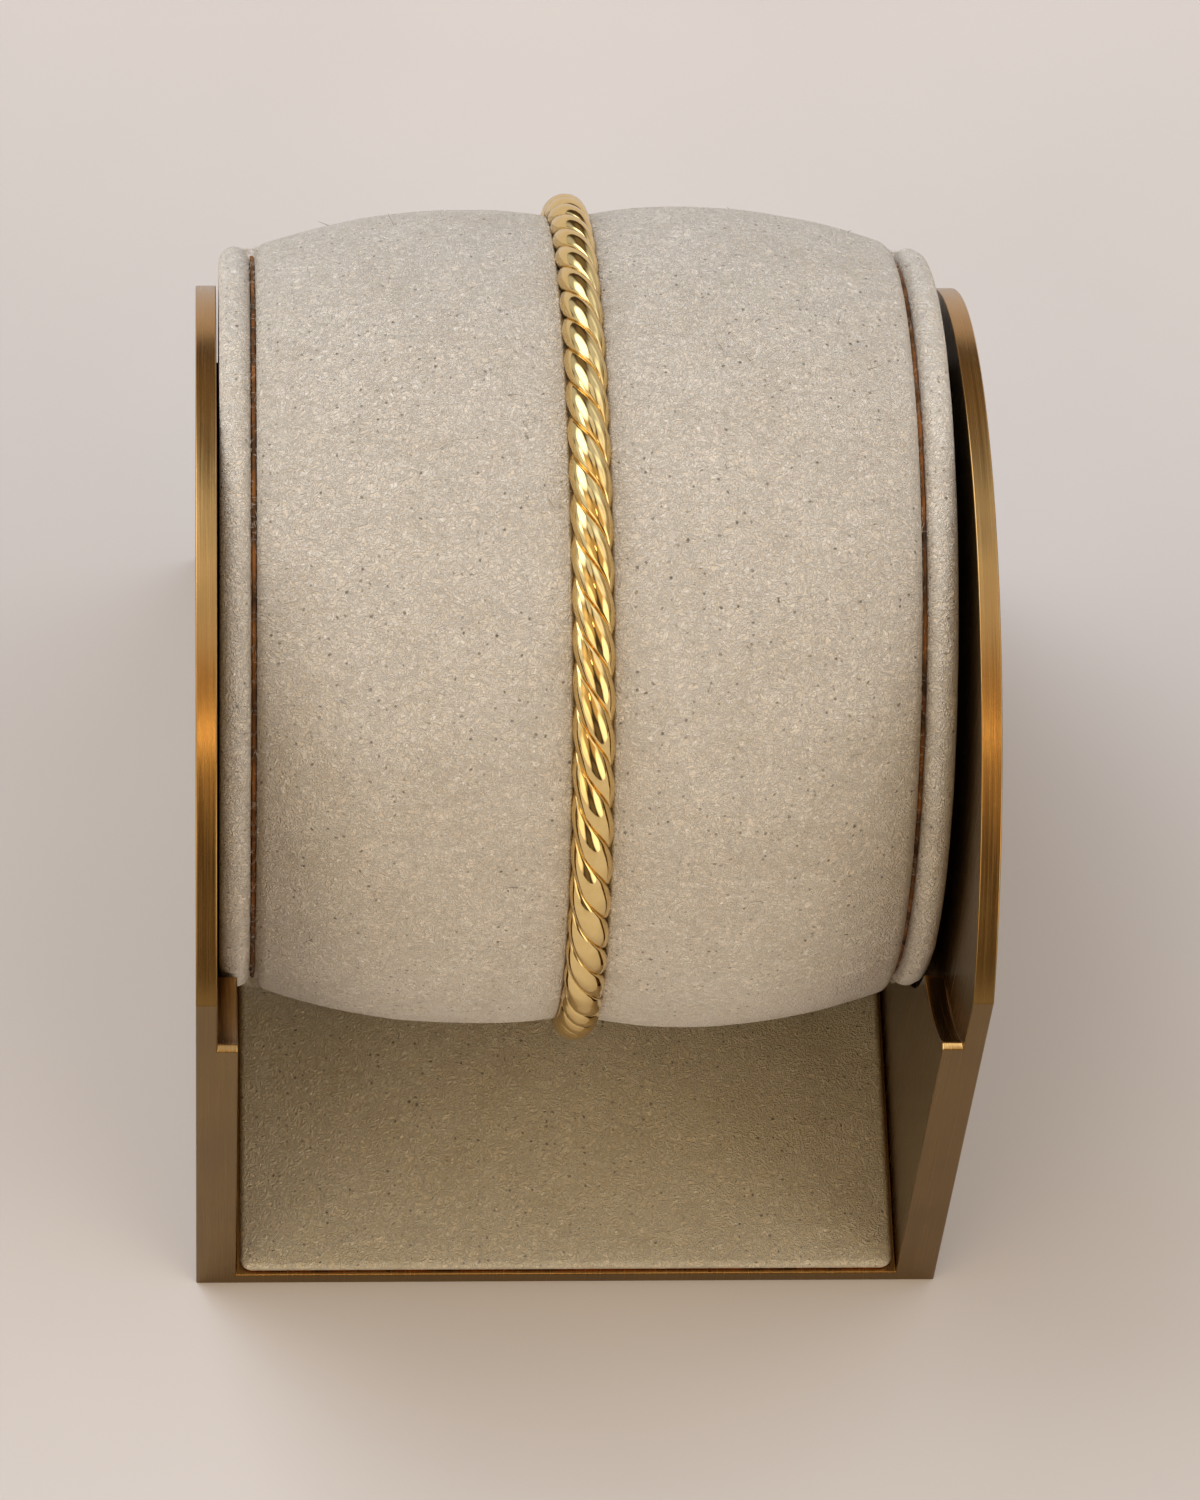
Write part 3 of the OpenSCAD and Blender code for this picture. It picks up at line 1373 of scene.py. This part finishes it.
@dataclass
class TwistedBangle:
    """Ring of three gold strands twisted left-handed, soldered at one seam.

    The lag says, in degrees, how far the twist falls behind an even one at angles from the
    seam: the strands run slower towards it and meet out of step there. The groove is where a
    strand's side rolls over into the furrow, with its half width in degrees round the wire.
    """

    stand: Stand
    ring_radius: float = 31.84
    wire_radius: float = 1.62
    strands: int = 3
    turns: int = 21
    strand_share: float = 0.71
    groove_half: float = 11.0
    groove_depth: float = 0.2
    seam_at: float = 185.0
    seam_half: float = 2.2
    seam_share: float = 0.35
    seam_waist: float = 0.03
    twist_start: float = 82.0
    lag: tuple[tuple[float, float], ...] = (
        (-55, 0), (-30, 45), (-2.2, 111), (2.2, 151), (215, 0)
    )
    first_station: float = -145.0
    stations_per_turn: int = 52
    points_per_strand: int = 28

    def build(self, gold: PolishedGold) -> bpy.types.Object:
        """Builds the ring.

        Args:
            gold: The finish.

        Returns:
            The bangle piece.
        """
        stations = self.turns * self.stations_per_turn
        angle = self.seam_at + self.first_station + 360 * np.arange(stations) / stations
        offset = self._offsets()
        turn = np.radians(self._twist(angle)[:, None] + offset[None, :])
        edge = self._edge(offset, angle)
        rise = edge * np.cos(turn)
        across = edge * np.sin(turn)
        out = self.ring_radius + rise
        theta = np.radians(angle)[:, None]
        local = np.stack([across, out * np.cos(theta), out * np.sin(theta)], axis=-1)
        cos, sin = math.cos(self.stand.ring_skew), math.sin(self.stand.ring_skew)
        x = local[..., 0] * cos - local[..., 1] * sin
        y = local[..., 0] * sin + local[..., 1] * cos
        points = np.stack(
            [
                x + self.stand.ring_from_left - self.stand.width / 2,
                y + self.stand.axis_y,
                local[..., 2] + self.stand.roll_height,
            ],
            axis=-1,
        ).reshape(-1, 3)
        return Shell(points, grid_faces(stations, len(offset), tube=True)).piece(
            "twisted_bangle", [gold.material()], Slot.GOLD, ("bangle",)
        )

    def _offsets(self) -> np.ndarray:
        """Spaces the points round the wire, closer together near the furrows.

        Returns:
            Angles round the wire in degrees.
        """
        half = 180 / self.strands
        share = np.linspace(-1, 1, self.points_per_strand, endpoint=False)
        one = half * np.sin(share * math.pi / 2)
        return np.concatenate([one + 2 * half * strand for strand in range(self.strands)])

    def _twist(self, angle: np.ndarray) -> np.ndarray:
        """Finds how far the strands have turned about the wire.

        Args:
            angle: Angles round the ring in degrees.

        Returns:
            The turn at each, in degrees.
        """
        places, lags = zip(*self.lag)
        lag = np.interp(angle, self.seam_at + np.array(places), lags)
        return self.twist_start + self.turns * angle - lag

    def _edge(self, offset: np.ndarray, angle: np.ndarray) -> np.ndarray:
        """Finds the radius of the wire's section.

        Args:
            offset: Angles round the wire in degrees.
            angle: Angles round the ring in degrees.

        Returns:
            One row for each station, with the radius at each offset.
        """
        lobe = 360 / self.strands
        from_crown = np.radians(offset - lobe * np.round(offset / lobe))
        push = 1 - self.strand_share
        round_back = push * np.cos(from_crown) + np.sqrt(
            self.strand_share**2 - (push * np.sin(from_crown)) ** 2
        )
        near = np.clip(1 - np.abs(angle - self.seam_at) / (2 * self.seam_half), 0, None) ** 2
        depth = 1 - near * (1 - self.seam_share)
        full = 1 - depth[:, None] * (1 - round_back[None, :])
        off = np.abs(np.degrees(from_crown))
        into = np.clip((off - lobe / 2 + self.groove_half) / self.groove_half, 0, 1)
        roll_over = self.groove_depth * (1 - np.sqrt(1 - into**2))
        lobes = self.wire_radius * full * (1 - near * self.seam_waist)[:, None]
        return lobes - depth[:, None] * roll_over[None, :]


# The studio


@dataclass(frozen=True)
class Glow:
    """One soft round patch of light in the room: where it is, how wide and how bright.

    Angles are in degrees. The bearing turns from the front over the right, and the height
    rises from the horizon. The spread is the angle from the middle to where it has faded.
    """

    name: str
    bearing: float
    height: float
    spread: float
    strength: float
    tint: str

    def add(
        self, tree: bpy.types.NodeTree, way: bpy.types.NodeSocket, rest: bpy.types.NodeSocket
    ) -> bpy.types.NodeSocket:
        """Adds the glow to the light that the room already gives.

        Args:
            tree: The room's node tree.
            way: The direction that is looked in.
            rest: The light so far.

        Returns:
            The light with this glow.
        """
        turn, rise = math.radians(self.bearing), math.radians(self.height)
        middle = (math.sin(turn) * math.cos(rise), -math.cos(turn) * math.cos(rise),
                  math.sin(rise))
        near = add_node(tree, "VectorMath", {"operation": "DOT_PRODUCT", 1: middle}, {0: way})
        shape = add_node(
            tree, "MapRange",
            {"interpolation_type": "SMOOTHSTEP",
             "From Min": math.cos(math.radians(self.spread * 1.25)),
             "From Max": math.cos(math.radians(self.spread * 0.6))},
            {"Value": near.outputs["Value"]},
        )
        colour = tuple(self.strength * part for part in linear(self.tint)[:3])
        summed = add_node(
            tree, "VectorMath", {"operation": "MULTIPLY_ADD", 1: colour},
            {0: shape.outputs["Result"], 2: rest},
        )
        log.info("light %s", self.name)
        return summed.outputs["Vector"]


# Each glow's name, bearing, height, spread, strength and tint. The strengths and tints are
# matched to how the photographed stand, suede and wire are lit.
ROOM = (
    Glow("window_back_left", 225, 46, 24, 3.01, "#ebf3ff"),
    Glow("window_left", 266, 27, 9, 2.23, "#ebf3ff"),
    Glow("wall_left", 270, 15, 22, 0.88, "#ebf3ff"),
    Glow("wall_left_high", 270, 46, 24, 0.56, "#ffe8c7"),
    Glow("ceiling", 180, 84, 14, 0.78, "#fbfcff"),
    Glow("ceiling_front", 0, 76, 11, 0.52, "#ffd99f"),
    Glow("ceiling_lamp", 0, 63.5, 4, 5.00, "#ffdba0"),
    Glow("ceiling_back", 180, 66, 13, 0.34, "#eaf1ff"),
    Glow("wall_back", 180, 24, 16, 0.14, "#ffe5bc"),
    Glow("wall_back_left", 225, 15, 22, 0.59, "#ebf3ff"),
    Glow("wall_back_right", 135, 15, 22, 0.57, "#ecf3ff"),
    Glow("curtain_back_right", 135, 46, 24, 0.74, "#eaf2ff"),
    Glow("curtain_right", 90, 46, 24, 0.98, "#f1f6ff"),
    Glow("wall_right", 90, 15, 22, 0.34, "#fff1df"),
    Glow("warm_front_right", 45, 46, 24, 0.65, "#ffd99d"),
    Glow("warm_front_left", 315, 46, 24, 0.60, "#ffdea3"),
    Glow("reflector_front_right", 45, 15, 22, 1.85, "#fff7ea"),
    Glow("reflector_front_left", 315, 15, 22, 1.45, "#fff3e0"),
    Glow("room_front", 0, 12, 14, 0.11, "#ffdea2"),
)


@dataclass
class Studio:
    """Plain pale floor, the soft light of a pale room and the camera at the photo's angle."""

    glows: tuple[Glow, ...] = ROOM
    backdrop: str = "#cfc6c1"
    shade: str = "#4a3d33"
    floor_reach: float = 1500.0
    camera_place: tuple[float, float, float] = (-29.77, -269.52, 509.06)
    camera_yaw: float = 6.8007
    camera_down: float = 60.6
    camera_roll: float = 5.9037
    lens: float = 165.408

    def build(self) -> None:
        """Sets up the floor, the room's light and the camera."""
        bpy.context.scene.view_settings.view_transform = "Standard"
        self._floor()
        self._room()
        self._camera()

    def _floor(self) -> None:
        """Lays the paper sweep under the stand."""
        mesh = bpy.data.meshes.new("floor")
        reach = self.floor_reach * MM
        mesh.from_pydata(
            [(-reach, -reach, 0), (reach, -reach, 0), (reach, reach, 0), (-reach, reach, 0)],
            [], [(0, 1, 2, 3)],
        )
        mesh.materials.append(MattePaper().material())
        floor = bpy.data.objects.new("floor", mesh)
        bpy.context.scene.collection.objects.link(floor)

    def _room(self) -> None:
        """Sums the glows into the room's light, behind a backdrop that looks plain."""
        world = bpy.data.worlds.new("pale_room")
        bpy.context.scene.world = world
        world.use_nodes = True
        tree = world.node_tree
        lit = tree.nodes["Background"]
        place = add_node(tree, "TexCoord")
        # The room's darkest tone is what the glows are added to, with red, green and blue as 0 to 2.
        dim = dict(enumerate(linear(self.shade)[:3]))
        light = add_node(tree, "CombineXYZ", dim).outputs["Vector"]
        for glow in self.glows:
            light = glow.add(tree, place.outputs["Generated"], light)
        tree.links.new(light, lit.inputs["Color"])
        plain = add_node(tree, "Background", {"Color": linear(self.backdrop)})
        ray = add_node(tree, "LightPath")
        seen = add_node(
            tree, "MixShader", None,
            {0: ray.outputs["Is Camera Ray"], 1: lit.outputs[0], 2: plain.outputs[0]},
        )
        tree.links.new(seen.outputs[0], tree.nodes["World Output"].inputs["Surface"])

    def _camera(self) -> None:
        """Sets the camera where the photograph was taken."""
        data = bpy.data.cameras.new("camera")
        data.lens = self.lens
        data.sensor_width = 36.0
        data.clip_start, data.clip_end = 0.01, 20.0
        camera = bpy.data.objects.new("camera", data)
        bpy.context.scene.collection.objects.link(camera)
        turn = (
            Matrix.Rotation(-math.radians(self.camera_yaw), 4, "Z")
            @ Matrix.Rotation(math.radians(90 - self.camera_down), 4, "X")
            @ Matrix.Rotation(math.radians(self.camera_roll), 4, "Z")
        )
        camera.matrix_world = Matrix.Translation(Vector(self.camera_place) * MM) @ turn
        bpy.context.scene.camera = camera


def main() -> None:
    """Builds the studio and every piece of the object, in order."""
    logging.basicConfig(level=logging.INFO, format="%(name)s: %(message)s")
    stand = Stand()
    Studio().build()
    suede = NappedSuede().material()
    # Lighter copy of the suede for the discs: painted light where the plates keep light off them.
    wrapped = NappedSuede(
        name="napped_cream_suede_painted_light", pale="#fbf4e8", mid="#f7eee0", shade="#e8dcc9"
    ).material()
    raw = RawLeather().material()
    Cradle(stand).build(BrushedBronze())
    # Darker, warmer copy of the suede for the base pad: painted warm shade under the roll.
    warm_shaded_suede = NappedSuede(
        name="napped_cream_suede_painted_warm_shade", pale="#f0e6cf", mid="#e8dcc1", shade="#d6c8aa"
    ).material()
    BasePad(stand).build(warm_shaded_suede, raw)
    roll = SuedeRoll(stand)
    roll.build(suede)
    for side, board_from_left, disc_from_left, seed in (
        ("left", 4.25, 1.8, 11),
        ("right", 54.65, 55.0, 12),
    ):
        RawBoard(stand, side, board_from_left).build(raw)
        EndDisc(stand, side, disc_from_left, seed=seed).build(wrapped)
    SuedeNap(stand, roll).build()
    TwistedBangle(stand).build(PolishedGold())


if __name__ == "__main__":
    main()
